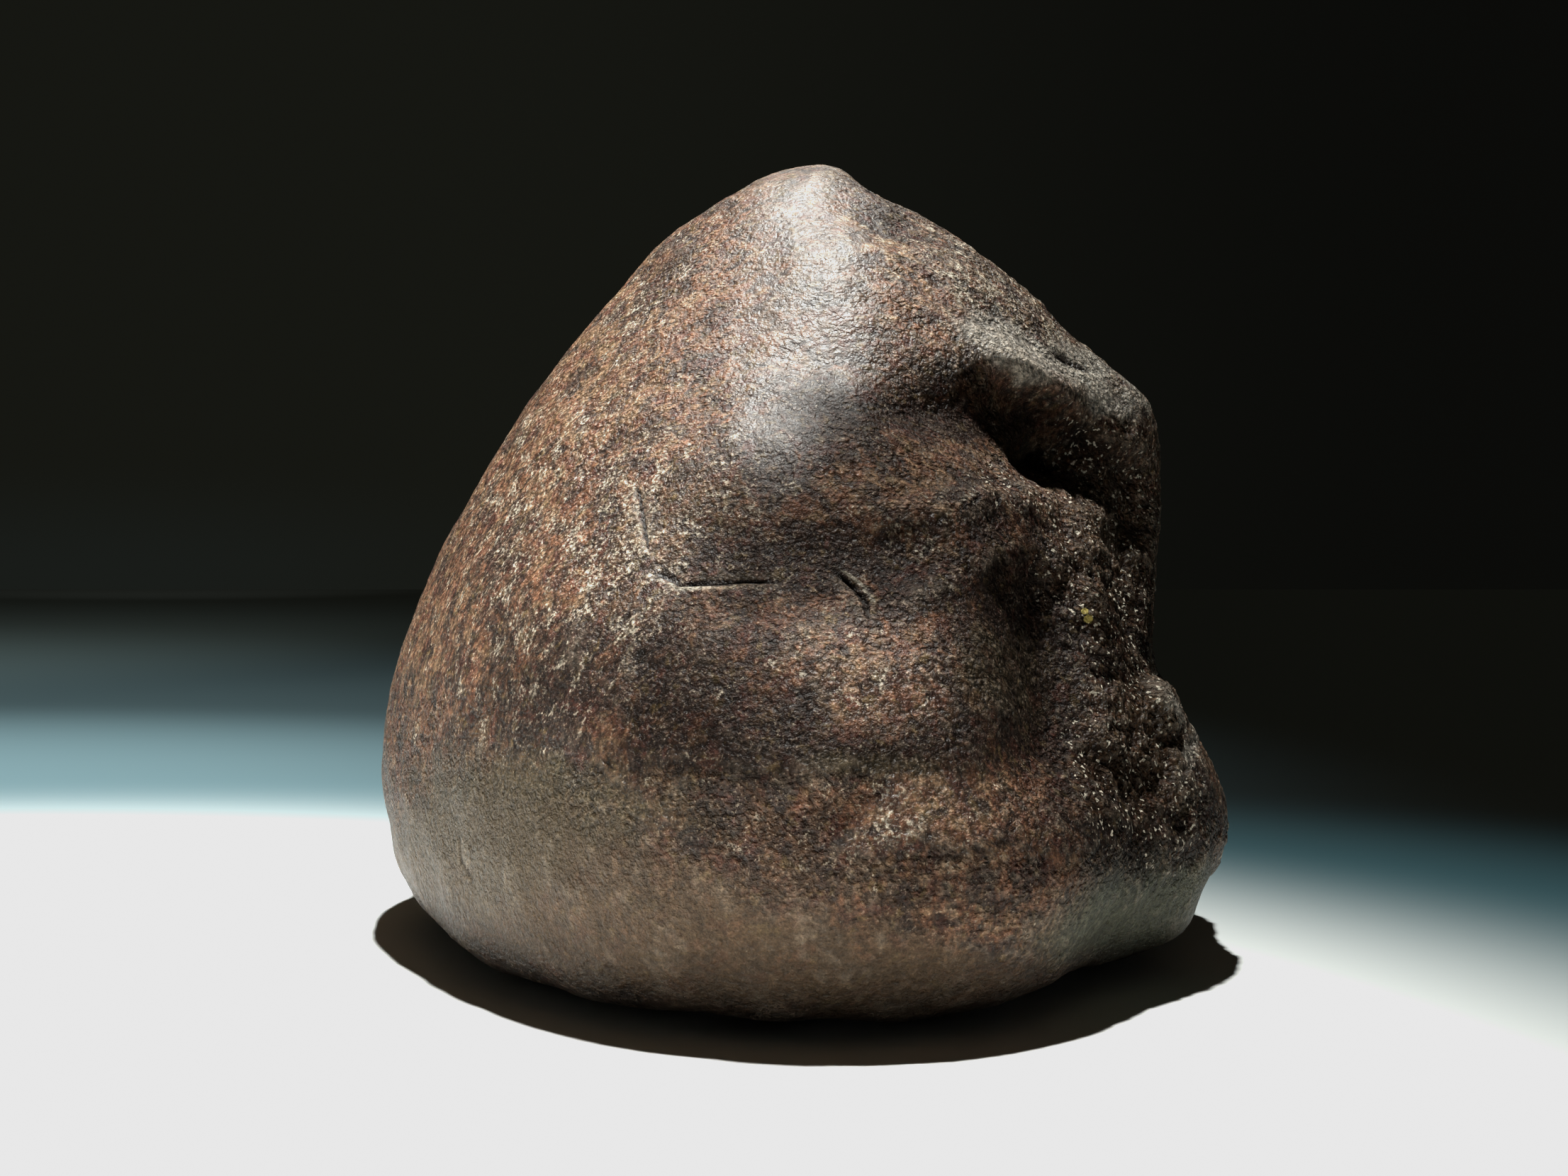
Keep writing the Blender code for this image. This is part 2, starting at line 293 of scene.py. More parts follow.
def around(azimuth):
    """Weights of the meridians at each azimuth: a periodic cubic spline."""
    n = len(MERIDIANS)
    left = np.zeros((n, n))
    right = np.zeros((n, n))
    for i in range(n):
        left[i, i] = 4.0
        left[i, (i - 1) % n] += 1.0
        left[i, (i + 1) % n] += 1.0
        right[i, (i + 1) % n] += 3.0
        right[i, (i - 1) % n] -= 3.0
    slope = np.linalg.solve(left, right)
    u = np.mod(azimuth / 360.0, 1.0) * n
    k = np.floor(u).astype(int) % n
    f = u - np.floor(u)
    rows = np.arange(len(u))
    weights = np.zeros((len(u), n))
    weights[rows, k] += 2 * f**3 - 3 * f**2 + 1
    weights[rows, (k + 1) % n] += 3 * f**2 - 2 * f**3
    weights += (f**3 - 2 * f**2 + f)[:, None] * slope[k]
    weights += (f**3 - f**2)[:, None] * slope[(k + 1) % n]
    return weights


def along(knots, values, t):
    """A natural cubic spline through values (one row per knot), read at t."""
    m = len(knots)
    h = np.diff(knots)
    left = np.zeros((m, m))
    right = np.zeros_like(values)
    left[0, 0] = left[-1, -1] = 1.0
    for i in range(1, m - 1):
        left[i, i - 1 : i + 2] = h[i - 1], 2 * (h[i - 1] + h[i]), h[i]
        right[i] = 6 * (
            (values[i + 1] - values[i]) / h[i] - (values[i] - values[i - 1]) / h[i - 1]
        )
    bend = np.linalg.solve(left, right)
    k = np.clip(np.searchsorted(knots, t, side="right") - 1, 0, m - 2)
    a = ((knots[k + 1] - t) / h[k])[:, None]
    b = 1.0 - a
    return (
        a * values[k]
        + b * values[k + 1]
        + ((a**3 - a) * bend[k] + (b**3 - b) * bend[k + 1]) * (h[k] ** 2)[:, None] / 6
    )


def loft(azimuth, t):
    """Points of the loft; t runs from 0 at the nose to 1 in the middle of the foot."""
    radii = np.array([MERIDIANS[a] + (0.0,) for a in sorted(MERIDIANS)], float)
    heights = np.array(LEVELS + (MIDDLE_OF_FOOT,), float)
    steps = np.hypot(np.diff(radii.mean(axis=0)), np.diff(heights))
    knots = np.concatenate([[0.0], np.cumsum(steps)])
    knots /= knots[-1]
    opposite = np.roll(radii, len(radii) // 2, axis=0)
    knots = np.concatenate([-knots[3:0:-1], knots, 2 - knots[-2:-5:-1]])
    radii = np.concatenate(
        [-opposite[:, 3:0:-1], radii, -opposite[:, -2:-5:-1]], axis=1
    )
    heights = np.concatenate([heights[3:0:-1], heights, heights[-2:-5:-1]])
    weights = along(knots, np.eye(len(knots)), t)
    radius = (weights @ radii.T * around(azimuth)).sum(axis=1)
    angle = np.radians(azimuth)
    return np.stack(
        [AXIS_X + radius * np.sin(angle), -radius * np.cos(angle), weights @ heights],
        axis=1,
    )


def pushed(points, pushes):
    for _, centre, spread, push, square in pushes:
        away = (points - np.array(centre, float)) / np.array(spread, float)
        near = np.exp(-0.5 * (away**2).sum(axis=1) ** (square / 2))
        points = points + near[:, None] * np.array(push, float)
    return points


def ball(steps):
    """Directions and quads of a ball made of six square patches, its mesh
    drawn together where the stone has most detail."""
    corners, quads = [], []
    for axis in range(3):
        for side in (0, steps):
            u, v = np.meshgrid(np.arange(steps + 1), np.arange(steps + 1), indexing="ij")
            place = np.zeros((steps + 1, steps + 1, 3), int)
            place[..., axis] = side
            place[..., (axis + 1) % 3] = u
            place[..., (axis + 2) % 3] = v
            first = sum(len(c) for c in corners)
            number = first + np.arange((steps + 1) ** 2).reshape(steps + 1, steps + 1)
            ring = [number[:-1, :-1], number[1:, :-1], number[1:, 1:], number[:-1, 1:]]
            if side == 0:
                ring.reverse()
            corners.append(place.reshape(-1, 3))
            quads.append(np.stack(ring, axis=-1).reshape(-1, 4))
    corners = np.concatenate(corners)
    quads = np.concatenate(quads)
    key = (corners[:, 0] * (steps + 1) + corners[:, 1]) * (steps + 1) + corners[:, 2]
    _, first, number = np.unique(key, return_index=True, return_inverse=True)
    directions = np.tan((2.0 * corners[first] / steps - 1.0) * math.pi / 4)
    directions /= np.linalg.norm(directions, axis=1, keepdims=True)
    for centre, pull, width in DENSER:
        centre = np.array(centre) / np.linalg.norm(centre)
        angle = np.arccos(np.clip(directions @ centre, -1.0, 1.0))
        near = np.exp(-0.5 * (angle / width) ** 2)
        directions = directions + pull * near[:, None] * centre
        directions /= np.linalg.norm(directions, axis=1, keepdims=True)
    return directions, number.reshape(-1)[quads]


def normals_of(points, quads):
    """Unit normals of the vertices."""
    a, b, c, d = (points[quads[:, i]] for i in range(4))
    face = np.cross(c - a, d - b)
    total = np.zeros_like(points)
    for i in range(4):
        for axis in range(3):
            total[:, axis] += np.bincount(
                quads[:, i], weights=face[:, axis], minlength=len(points)
            )
    return total / np.maximum(np.linalg.norm(total, axis=1, keepdims=True), 1e-12)


# ---------------------------------------------------------------------- noise
def hashed(cell, seed):
    """A repeatable number from 0 to 1 for each lattice corner."""
    n = (
        cell[:, 0] * 73856093
        ^ cell[:, 1] * 19349663
        ^ cell[:, 2] * 83492791
        ^ (seed * 2654435761)
    ) & 0xFFFFFFFF
    n = ((n ^ (n >> 15)) * 2246822519) & 0xFFFFFFFF
    n = ((n ^ (n >> 13)) * 3266489917) & 0xFFFFFFFF
    return (n ^ (n >> 16)) & 0xFFFFFFFF


def noise(points, seed=0):
    """Gradient noise, about -1 to 1."""
    cell = np.floor(points).astype(np.int64)
    f = points - cell
    w = f * f * f * (f * (f * 6 - 15) + 10)
    total = np.zeros(len(points))
    for corner in np.ndindex(2, 2, 2):
        corner = np.array(corner)
        n = hashed(cell + corner, seed)
        away = f - corner
        share = np.prod(np.where(corner, w, 1 - w), axis=1)
        # one of 16 directions to the middles of a cube's edges
        h = n & 15
        u = np.where(h < 8, away[:, 0], away[:, 1])
        v = np.where(
            h < 4, away[:, 1], np.where((h == 12) | (h == 14), away[:, 0], away[:, 2])
        )
        total += share * (np.where(h & 1, -u, u) + np.where(h & 2, -v, v))
    return total


def fractal(points, octaves, seed=0, gain=0.5):
    total, size = np.zeros(len(points)), 1.0
    for octave in range(octaves):
        total += size * noise(points * 2.03**octave + 7.3 * octave, seed + octave)
        size *= gain
    return total


def cells(points, seed=0):
    """Distance to the nearest of scattered points."""
    cell = np.floor(points).astype(np.int64)
    near = np.full(len(points), 9.0)
    for corner in np.ndindex(3, 3, 3):
        at = cell + np.array(corner) - 1
        place = at + np.stack(
            [hashed(at, seed + i) / 4294967295.0 for i in range(3)], axis=1
        )
        away = np.linalg.norm(points - place, axis=1)
        near = np.minimum(near, away)
    return near


def smooth(low, high, x):
    t = np.clip((x - low) / (high - low), 0.0, 1.0)
    return t * t * (3 - 2 * t)


# ------------------------------------------------------- placing by the picture
class Skin:
    """The stone's skin, asked where the camera's rays meet it."""

    def __init__(self, points, quads):
        self.tree = BVHTree.FromPolygons(points.tolist(), quads.tolist())
        self.normals = normals_of(points, quads)

    def ray(self, x, y):
        """Direction of the camera's ray through the picture's point (x, y)."""
        tilt = math.radians(DOWN)
        right = (x - PICTURE[0] / 2) / FOCAL
        up = (PICTURE[1] / 2 - y) / FOCAL
        return Vector(
            (
                right,
                math.cos(tilt) + up * math.sin(tilt),
                up * math.cos(tilt) - math.sin(tilt),
            )
        ).normalized()

    def under(self, x, y):
        """The point of the skin under the picture's point (x, y)."""
        place, _, _, _ = self.tree.ray_cast(Vector(EYE), self.ray(x, y))
        return None if place is None else np.array(place)

    def outward(self, x, y):
        _, normal, _, _ = self.tree.ray_cast(Vector(EYE), self.ray(x, y))
        return np.array(normal)

    def path(self, places, step=4.0):
        """Points of the skin along a line through places, a few pixels apart."""
        found = []
        for (x0, y0), (x1, y1) in zip(places, places[1:]):
            pieces = max(1, round(math.hypot(x1 - x0, y1 - y0) / step))
            for i in range(pieces + 1):
                place = self.under(
                    x0 + (x1 - x0) * i / pieces, y0 + (y1 - y0) * i / pieces
                )
                if place is not None:
                    found.append(place)
        return np.array(found)


def shaped(points, skin):
    """The points with FORMS and LINES pushed into them."""
    outward = {}
    for name, place, spread, turn, push, square in FORMS:
        centre = skin.under(*place)
        if not isinstance(push, tuple):
            push = skin.outward(*place) * push
        angle = math.radians(turn)
        away = points - centre
        across = (away[:, 0] * math.cos(angle) + away[:, 2] * math.sin(angle)) / spread[0]
        up = (away[:, 2] * math.cos(angle) - away[:, 0] * math.sin(angle)) / spread[1]
        deep = away[:, 1] / 12.0
        near = np.exp(-0.5 * (across**2 + up**2 + deep**2) ** (square / 2))
        outward[name] = near[:, None] * np.array(push, float)
    for name, places, width, push, taper in LINES:
        near = stroke(points, skin.path(places), width, taper)[:, None]
        if isinstance(push, tuple):
            outward[name] = near * np.array(push, float)
        else:
            outward[name] = near * push * skin.normals
    return points + sum(outward.values())


def stroke(points, path, width, taper):
    """How much each point is on a line, 0 to 1, which thins out at its ends."""
    away, where = to_path(points, path)
    ends = smooth(0.0, taper, where) * smooth(1.0, 1.0 - taper, where)
    return np.exp(-0.5 * (away / width) ** 2) * ends


def in_picture(points):
    """Where the camera sees each point in the picture."""
    tilt = math.radians(DOWN)
    away = points - np.array(EYE)
    depth = away[:, 1] * math.cos(tilt) - away[:, 2] * math.sin(tilt)
    up = away[:, 2] * math.cos(tilt) + away[:, 1] * math.sin(tilt)
    return (
        PICTURE[0] / 2 + FOCAL * away[:, 0] / depth,
        PICTURE[1] / 2 - FOCAL * up / depth,
    )


def patches(points, normals):
    """How much of each kind of patch, crust or painted shade and light, there is at each point, 0 to 1."""
    x, y = in_picture(points)
    # The patches' edges wander, and they go as far as the camera sees.
    x = x + 26 * fractal(points / 5.0, 3, 41)
    y = y + 26 * fractal(points / 5.0, 3, 47)
    view = np.array(EYE) - points
    view /= np.linalg.norm(view, axis=1, keepdims=True)
    facing = smooth(-0.25, 0.15, (view * normals).sum(axis=1))
    found = {}
    for name, (cx, cy), (across, up), turn, strength in PATCHES:
        angle = math.radians(turn)
        dx, dy = x - cx, cy - y
        a = (dx * math.cos(angle) + dy * math.sin(angle)) / across
        b = (dy * math.cos(angle) - dx * math.sin(angle)) / up
        share = strength * np.exp(-0.5 * (a * a + b * b) ** 1.3) * facing
        found[name] = 1 - (1 - found.get(name, 0.0)) * (1 - share)
    return found, 1.0 - facing


def hollowness(points, normals, quads, rounds):
    """How far each point lies under the middle of its neighbours, in mm."""
    mean = points
    a, b = quads.reshape(-1), np.roll(quads, -1, axis=1).reshape(-1)
    count = np.bincount(a, minlength=len(points)) + np.bincount(b, minlength=len(points))
    for _ in range(rounds):
        total = np.zeros_like(points)
        for axis in range(3):
            total[:, axis] = np.bincount(a, weights=mean[b, axis], minlength=len(points))
            total[:, axis] += np.bincount(b, weights=mean[a, axis], minlength=len(points))
        mean = total / count[:, None]
    return ((mean - points) * normals).sum(axis=1)


def to_path(points, path, normals=None):
    """Distance from each point to a path, and how far along it is, 0 to 1. With
    normals also the way to the path and the distance to the right of it."""
    best = np.full(len(points), 1e9)
    where = np.zeros(len(points))
    way_there = np.zeros_like(points)
    beside = np.zeros(len(points))
    low, high = path.min(axis=0) - 9.0, path.max(axis=0) + 9.0
    close = np.nonzero(((points > low) & (points < high)).all(axis=1))[0]
    near = points[close]
    lengths = np.linalg.norm(np.diff(path, axis=0), axis=1)
    before = np.concatenate([[0.0], np.cumsum(lengths)])
    for i, length in enumerate(lengths):
        if length < 1e-6:
            continue
        way = (path[i + 1] - path[i]) / length
        t = np.clip((near - path[i]) @ way, 0.0, length)
        offset = near - path[i] - t[:, None] * way
        away = np.linalg.norm(offset, axis=1)
        closer = away < best[close]
        best[close[closer]] = away[closer]
        where[close[closer]] = ((before[i] + t) / before[-1])[closer]
        if normals is not None:
            right = np.cross(way, normals[close[closer]])
            way_there[close[closer]] = -offset[closer]
            beside[close[closer]] = (offset[closer] * right).sum(axis=1)
    return (best, where) if normals is None else (best, where, way_there, beside)


def cracked(points, skin):
    """The points drawn in beside the cracks, and how far each is pushed by them."""
    paths = [skin.path(places, 2.0) for _, places, _, _, _, _ in CRACKS]
    reach = 1.1
    nearest = np.full(len(points), reach)
    shift = np.zeros_like(points)
    for path in paths:
        away, _, way_there, _ = to_path(points, path, skin.normals)
        closer = away < nearest
        nearest[closer] = away[closer]
        shift[closer] = way_there[closer] * (1 - (away[closer] / reach) ** 0.8)[:, None]
    points = points + shift
    marks = np.zeros(len(points))
    for path, (_, _, width, depth, lip, taper) in zip(paths, CRACKS):
        away, where, _, beside = to_path(points, path, skin.normals)
        ends = smooth(0.0, taper, where) * smooth(1.0, 1.0 - taper, where)
        edge = beside - math.copysign(2.1 * width, lip)
        past = np.maximum(away**2 - beside**2, 0.0)
        marks -= depth * np.exp(-0.5 * (away / width) ** 2) * ends
        marks += abs(lip) * np.exp(-0.5 * (edge**2 + past) / (1.1 * width) ** 2) * ends
    return points, marks


# ------------------------------------------------------------------ the stone
def stone():
    directions, quads = ball(STEPS)
    azimuth = np.degrees(np.arctan2(directions[:, 0], -directions[:, 1]))
    t = np.arccos(np.clip(directions[:, 2], -1.0, 1.0)) / math.pi
    points = pushed(loft(azimuth, t), RELIEF)
    above = points[points[:, 2] >= 0.0]
    middle = (above.min(axis=0) + above.max(axis=0)) / 2
    points = shaped(points, Skin(points, quads))
    normals = normals_of(points, quads)
    kinds, hidden = patches(points, normals)
    # the same kinds of crust, in broad clouds, where the camera doesn't see
    for name, size, most, seed in (
        ("rust", 13.0, 0.7, 61), ("dark", 11.0, 0.5, 62), ("olive", 16.0, 0.5, 63), ("tan", 12.0, 0.45, 64),
    ):  # fmt: skip
        there = most * hidden * smooth(-0.2, 0.6, fractal(points / size, 3, seed))
        kinds[name] = np.maximum(kinds[name], there)
    side = smooth(35, 65, azimuth) * smooth(178, 130, azimuth)
    rough = np.maximum(kinds["rough"], 0.8 * hidden * side * smooth(60, 50, points[:, 2]))
    # the crust flowed back from the nose
    down = t * 160.0
    flow = np.stack(
        [
            (points[:, 0] - AXIS_X) + 3 * noise(points / 9.0, 5),
            points[:, 1] + 3 * noise(points / 9.0, 6),
            0.45 * down,
        ],
        axis=1,
    )
    relief = 0.30 * fractal(points / 9.0, 2, 11) + 0.16 * noise(points / 3.7, 12)
    relief += (1 - rough) * 0.050 * fractal(flow / 0.9, 2, 13)
    relief += (0.3 + 0.7 * kinds["flown"]) * 0.035 * fractal(points / 1.1, 2, 14)
    near = cells(points / 1.7 + 0.35 * fractal(points / 1.5, 2, 15)[:, None], 16)
    lumps = 0.55 - np.minimum(near, 1.0)
    small = cells(points / 0.85, 17)
    relief += rough * (0.30 * lumps + 0.16 * (0.5 - np.minimum(small, 1.0)))
    relief += rough * 0.70 * fractal(points / 3.2, 4, 18, 0.6)
    still = smooth(8, 35, azimuth) * smooth(178, 150, azimuth)
    # knobbly crust, from the middle of the front to the broken side
    knobbly = smooth(-12, 18, azimuth) * smooth(178, 150, azimuth) * (1 - kinds["calm"])
    knobbly *= (1 - 0.35 * kinds["flown"]) * smooth(-0.6, 0.2, noise(points / 5.0, 22))
    grit = cells(points / 0.78 + 0.4 * fractal(points / 0.8, 2, 23)[:, None], 24)
    relief += knobbly * (0.20 * (0.5 - np.minimum(grit, 1.0)) + 0.05 * fractal(points / 0.7, 2, 25))
    # shallow hollows at the back
    wide = cells(points / 11.0, 19)
    relief -= hidden * 1.1 * smooth(0.66, 0.1, wide)
    smoothed = points
    points = points + normals * relief[:, None]
    skin = Skin(points, quads)
    points, marks = cracked(points, skin)
    for place, width, depth in PITS:
        away = np.linalg.norm(points - skin.under(*place), axis=1)
        marks -= depth * np.exp(-0.5 * (away / width) ** 2)
    points = points + skin.normals * marks[:, None]
    low = np.array(CAD_BOX[0]) / MM + (middle[0], middle[1], 0.0)
    high = np.array(CAD_BOX[1]) / MM + (middle[0], middle[1], 0.0)
    points[:, 2] = np.maximum(points[:, 2], 0.0)
    for axis, centre in enumerate((middle[0], middle[1], 0.0)):
        reach = points[:, axis] - centre
        over = reach.max() / (high[axis] - centre)
        under = reach.min() / (low[axis] - centre) if axis < 2 else 1.0
        points[:, axis] = centre + reach / np.where(reach > 0, max(over, 1.0), max(under, 1.0))
    normals = normals_of(points, quads)
    under = smooth(0.05, -0.35, normals_of(smoothed, quads)[:, 2])
    under *= hidden * smooth(20.0, 12.0, points[:, 2])
    under = np.maximum(under, kinds["calm"])
    dips = hollowness(points, normals, quads, 3)

    mesh = bpy.data.meshes.new("meteorite_skin")
    places = points - (middle[0], middle[1], 0.0)
    mesh.from_pydata((places * MM * (1 - 1e-6)).tolist(), [], quads.tolist())
    mesh.shade_smooth()
    for name, values in (
        ("rough", rough),
        ("rust", kinds["rust"]),
        ("tan", kinds["tan"]),
        ("dark", kinds["dark"]),
        ("olive", kinds["olive"]),
        ("flown", kinds["flown"]),
        ("dim", kinds["dim"]),
        ("pale", kinds["pale"]),
        ("green", kinds["green"]),
        ("still", still),
        ("knobbly", knobbly),
        ("marks", marks),
        ("hidden", hidden),
        ("under", under),
        ("dips", np.clip(dips / 0.06, -1.0, 1.0)),
    ):
        layer = mesh.attributes.new(name, "FLOAT", "POINT")
        layer.data.foreach_set("value", np.asarray(values, np.float32))
    for name, values in (("place", points), ("flow", flow)):
        layer = mesh.attributes.new(name, "FLOAT_VECTOR", "POINT")
        layer.data.foreach_set("vector", np.asarray(values, np.float32).reshape(-1))
    piece = bpy.data.objects.new("meteorite_skin", mesh)
    bpy.context.scene.collection.objects.link(piece)
    chips = [skin.under(*place) for place, _, _ in CHIPS]
    return piece, middle, chips


# ------------------------------------------------------------------ the crust
class Tree:
    """Short ways of adding nodes."""

    def __init__(self, tree):
        self.tree = tree

    def node(self, kind, inputs=None, **settings):
        made = self.tree.nodes.new(kind)
        for name, value in settings.items():
            setattr(made, name, value)
        for name, value in (inputs or {}).items():
            self.put(made.inputs[name], value)
        return made

    def put(self, socket, value):
        if isinstance(value, bpy.types.NodeSocket):
            self.tree.links.new(value, socket)
        else:
            socket.default_value = value

    def mark(self, name):
        return self.node("ShaderNodeAttribute", attribute_name=name).outputs["Fac"]

    def vector(self, name):
        return self.node("ShaderNodeAttribute", attribute_name=name).outputs["Vector"]

    def noise(self, where, size, detail=2.0, rough=0.55, bend=0.0):
        """Noise with features of about this many mm."""
        inputs = {"Vector": where, "Scale": 1.0 / size, "Detail": detail}
        inputs |= {"Roughness": rough, "Distortion": bend}
        return self.node("ShaderNodeTexNoise", inputs).outputs[0]

    def drawn(self, size, detail, rough, bend=0.0):
        """Noise drawn out along the flow, and plain noise on the broken side."""
        made = self.node("ShaderNodeMix", data_type="FLOAT")
        self.put(made.inputs[0], self.mark("still"))
        self.put(made.inputs[2], self.noise(self.vector("flow"), size, detail, rough, bend))
        self.put(made.inputs[3], self.noise(self.vector("place"), size, detail, rough, bend))
        return made.outputs[0]

    def grains(self, where, size):
        return self.node(
            "ShaderNodeTexVoronoi", {"Vector": where, "Scale": 1.0 / size}
        ).outputs["Distance"]

    def maths(self, operation, *values):
        made = self.node("ShaderNodeMath", operation=operation)
        for socket, value in zip(made.inputs, values):
            self.put(socket, value)
        return made.outputs[0]

    def step(self, value, low, high, first=0.0, last=1.0):
        inputs = {"Value": value, "From Min": low, "From Max": high}
        inputs |= {"To Min": first, "To Max": last}
        return self.node(
            "ShaderNodeMapRange", inputs, interpolation_type="SMOOTHSTEP"
        ).outputs["Result"]

    def mix(self, factor, first, second, blend="MIX"):
        made = self.node("ShaderNodeMix", data_type="RGBA", blend_type=blend)
        self.put(made.inputs[0], factor)
        for socket, value in ((made.inputs[6], first), (made.inputs[7], second)):
            if isinstance(value, tuple):
                value = (*value, 1.0)
            self.put(socket, value)
        return made.outputs[2]


BROWN = (0.080, 0.044, 0.026)
RUST = (0.165, 0.077, 0.044)
OCHRE = (0.23, 0.140, 0.080)
UMBER = (0.150, 0.100, 0.044)
MAROON = (0.100, 0.037, 0.026)
PURPLE = (0.037, 0.023, 0.019)
OLIVE = (0.092, 0.069, 0.038)
TAN = (0.42, 0.335, 0.25)
CREAM = (0.62, 0.55, 0.44)
# painted shade for the mesh's hollows, the cracks' grooves and the pits
PAINTED_SHADE = (0.022, 0.014, 0.010)
EARTH = (0.056, 0.028, 0.012)
GREEN = (0.080, 0.086, 0.058)
UNDERSIDE = (0.096, 0.066, 0.040)
PALE_GREY = (0.36, 0.32, 0.27)
YELLOW = (0.60, 0.47, 0.14)


def crust(chips):
    material = bpy.data.materials.new("fusion_crust")
    material.use_nodes = True
    shader = material.node_tree.nodes["Principled BSDF"]
    t = Tree(material.node_tree)
    place = t.vector("place")
    rough, rust, tan = t.mark("rough"), t.mark("rust"), t.mark("tan")
    dark, olive, marks = t.mark("dark"), t.mark("olive"), t.mark("marks")
    dips, flown, under = t.mark("dips"), t.mark("flown"), t.mark("under")
    # the dim patches: painted shade, partly darker crust
    dim = t.mark("dim")

    # grain too fine for the mesh
    coarse = t.noise(place, 0.42, 3.0, 0.62, 0.15)
    wrinkles = t.drawn(0.34, 3.0, 0.6, 0.1)
    tiny = t.noise(place, 0.17, 2.0, 0.6)
    crumbs = t.maths("MULTIPLY", t.grains(place, 0.42), rough)
    height = t.maths("MULTIPLY", coarse, 0.26)
    height = t.maths("ADD", height, t.maths("MULTIPLY", wrinkles, 0.11))
    bent = t.node("ShaderNodeVectorMath", operation="MULTIPLY_ADD")
    t.put(bent.inputs[0], t.node("ShaderNodeTexNoise", {"Vector": place, "Scale": 1.3, "Detail": 2.0}).outputs["Color"])
    t.put(bent.inputs[1], (0.9, 0.9, 0.9))
    t.put(bent.inputs[2], place)
    pebbles = t.grains(bent.outputs[0], 0.46)
    where = t.step(t.noise(place, 2.4, 2.0), 0.38, 0.62, 0.35, 1.0)
    pebbly = t.maths("MULTIPLY", t.step(under, 0.0, 0.8, 1.0, 0.38), where)
    height = t.maths("SUBTRACT", height, t.maths("MULTIPLY", pebbles, t.maths("MULTIPLY", pebbly, t.step(t.mark("knobbly"), 0.0, 1.0, 0.17, 0.34))))
    height = t.maths("ADD", height, t.maths("MULTIPLY", tiny, 0.085))
    height = t.maths("MULTIPLY", height, t.step(flown, 0.1, 1.0, 1.0, 0.42))
    height = t.maths("ADD", height, t.maths("MULTIPLY", crumbs, -0.30))
    # the bump's own noises again, as painted shade in its pits and painted light on its tops
    bump_shade = t.maths("ADD", t.maths("MULTIPLY", coarse, 0.60), t.maths("MULTIPLY", wrinkles, 0.25))
    bump_shade = t.maths("ADD", bump_shade, t.maths("MULTIPLY", t.maths("SUBTRACT", 1.0, pebbles), 0.13))
    bump_shade = t.maths("ADD", bump_shade, 0.02)
    bump_shade = t.maths("SUBTRACT", bump_shade, t.maths("MULTIPLY", crumbs, 0.12))
    # softer on the flown front and underneath
    calm = t.maths("MAXIMUM", t.step(flown, 0.1, 1.0, 0.0, 0.55), t.step(under, 0.0, 1.0, 0.0, 0.68))
    bump_shade = t.maths("ADD", bump_shade, t.maths("MULTIPLY", t.maths("SUBTRACT", 0.52, bump_shade), calm))

    # colour
    clouds = t.noise(place, 3.2, 4.0, 0.6, 0.6)
    blots = t.noise(place, 1.3, 3.0, 0.6, 0.4)
    streaks = t.drawn(0.8, 3.0, 0.6)
    fine = t.noise(place, 0.26, 3.0, 0.65)
    grain = t.noise(place, 0.15, 2.0, 0.6)
    much_rust = t.maths("ADD", t.maths("MULTIPLY", rust, 0.30), t.maths("MULTIPLY", streaks, 0.45))
    much_rust = t.maths("ADD", much_rust, t.maths("MULTIPLY", clouds, 0.45))
    colour = t.mix(t.step(much_rust, 0.45, 0.58), BROWN, RUST)
    colour = t.mix(
        t.step(t.maths("ADD", t.maths("MULTIPLY", rust, 0.18), blots), 0.57, 0.72, 0.0, 0.85), colour, OCHRE
    )
    # dark patches: purple-black crust, and painted shade in the valley and the hollows
    much_dark = t.maths("ADD", t.maths("MULTIPLY", dark, 0.30), t.noise(place, 2.1, 4.0, 0.6, 0.8))
    colour = t.mix(t.step(much_dark, 0.46, 0.60, 0.0, 0.85), colour, PURPLE)
    colour = t.mix(t.step(t.noise(place, 1.7, 3.0, 0.6, 0.3), 0.53, 0.64, 0.0, 0.62), colour, MAROON)
    colour = t.mix(t.step(t.noise(place, 1.05, 3.0, 0.6, 0.3), 0.57, 0.68, 0.0, 0.6), colour, UMBER)
    much_olive = t.maths("ADD", t.maths("MULTIPLY", olive, 0.5), t.maths("MULTIPLY", clouds, 0.5))
    colour = t.mix(t.step(much_olive, 0.42, 0.72, 0.0, 0.85), colour, OLIVE)
    # tan patches thicken the pale specks: paler grains, and on the rim and the top of the left flank painted light
    specks = t.maths("ADD", t.maths("MULTIPLY", tan, 0.13), t.maths("MULTIPLY", fine, 0.66))
    specks = t.maths("ADD", specks, t.maths("MULTIPLY", t.drawn(1.3, 3.0, 0.6), 0.55))
    specks = t.maths("SUBTRACT", specks, t.maths("MULTIPLY", rough, 0.09))
    specks = t.maths("SUBTRACT", specks, t.maths("MULTIPLY", under, 0.06))
    colour = t.mix(t.step(specks, 0.70, 0.80, 0.0, 0.85), colour, TAN)
    colour = t.mix(t.step(specks, 0.755, 0.83, 0.0, 0.62), colour, CREAM)
    glints = t.maths("MULTIPLY", t.step(t.noise(place, 0.21, 1.0), 0.63, 0.72, 0.0, 0.36), t.step(under, 0.0, 0.8, 1.0, 0.3))
    colour = t.mix(glints, colour, TAN)
    colour = t.mix(t.step(under, 0.1, 0.9, 0.0, 0.62), colour, UNDERSIDE)
    colour = t.mix(t.step(t.mark("green"), 0.1, 0.9, 0.0, 0.8), colour, GREEN)
    colour = t.mix(t.step(rough, 0.40, 1.0, 0.0, 0.66), colour, EARTH)
